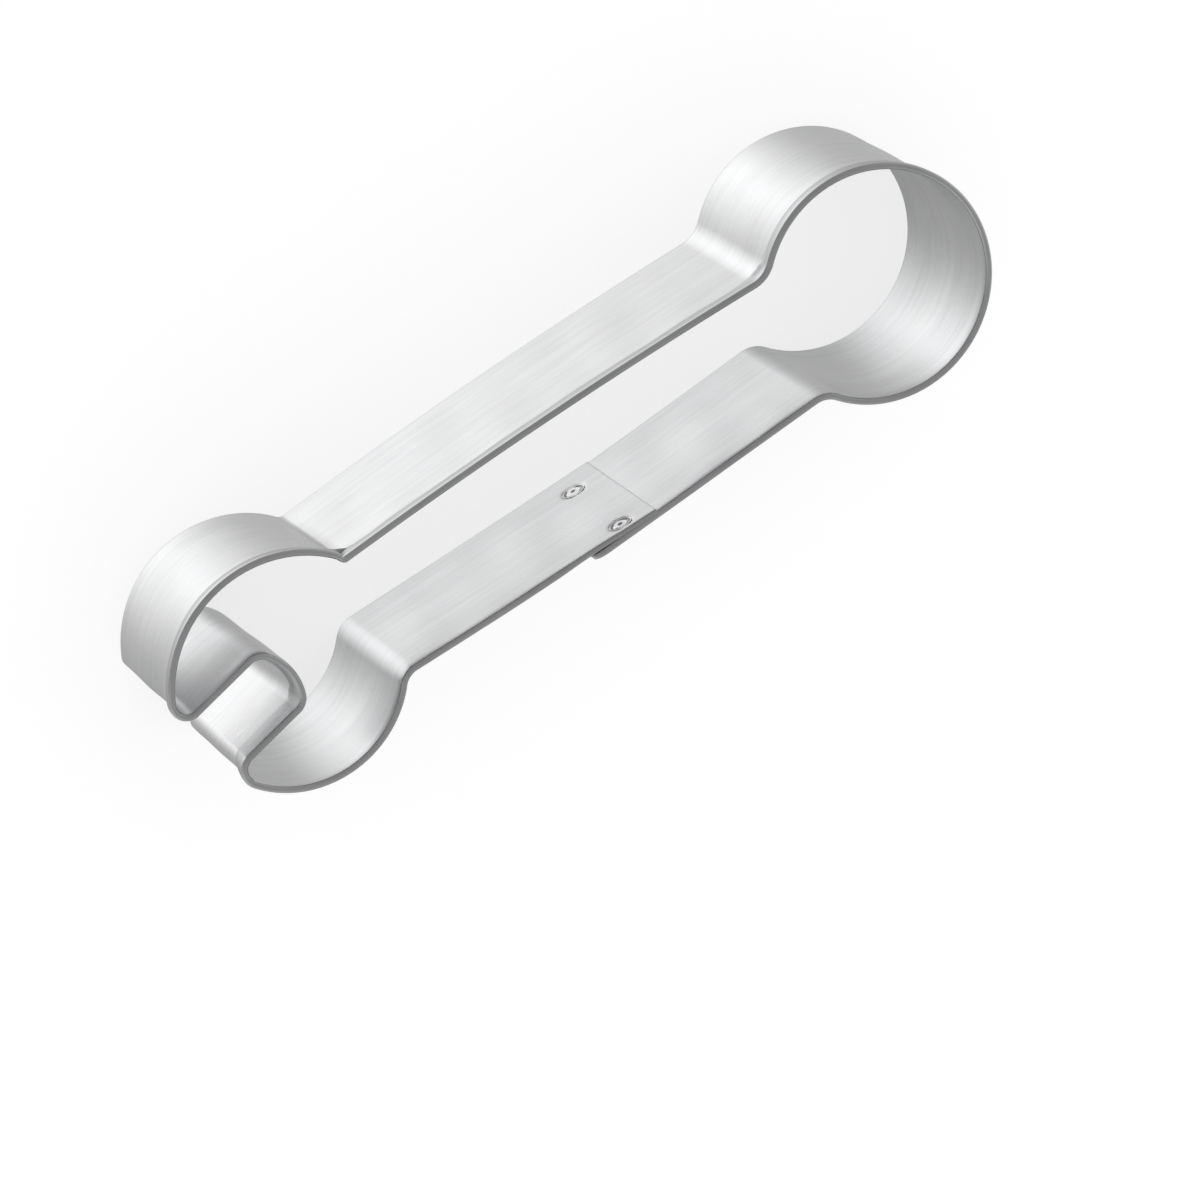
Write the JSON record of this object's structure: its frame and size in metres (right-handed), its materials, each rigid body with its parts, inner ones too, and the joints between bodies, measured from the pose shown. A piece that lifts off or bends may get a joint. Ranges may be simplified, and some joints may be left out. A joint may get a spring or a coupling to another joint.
{
  "type": "cookie cutter",
  "caption": "Spanner-shaped cookie cutter bent from a tinplate strip, with a folded rim above, a raw cutting edge below and a spot-welded lap in one shank wall.",
  "frame": {"origin": "middle of the cutter's overall box, on the plane of the cutting edge", "axes": "+X along the shank from the open jaw to the closed ring, +Z from the cutting edge to the folded rim, +Y across the shank"},
  "size_m": [0.121, 0.0322, 0.025],
  "materials": {
    "tinplate": "bright tin coating with fine rolling scratches along the strip",
    "weld_metal": "duller fused steel with a ring groove and a centre pip"
  },
  "bodies": {
    "root": {"cutter_band": "tinplate", "spot_weld_low": "weld_metal", "spot_weld_high": "weld_metal"}
  },
  "joints": []
}
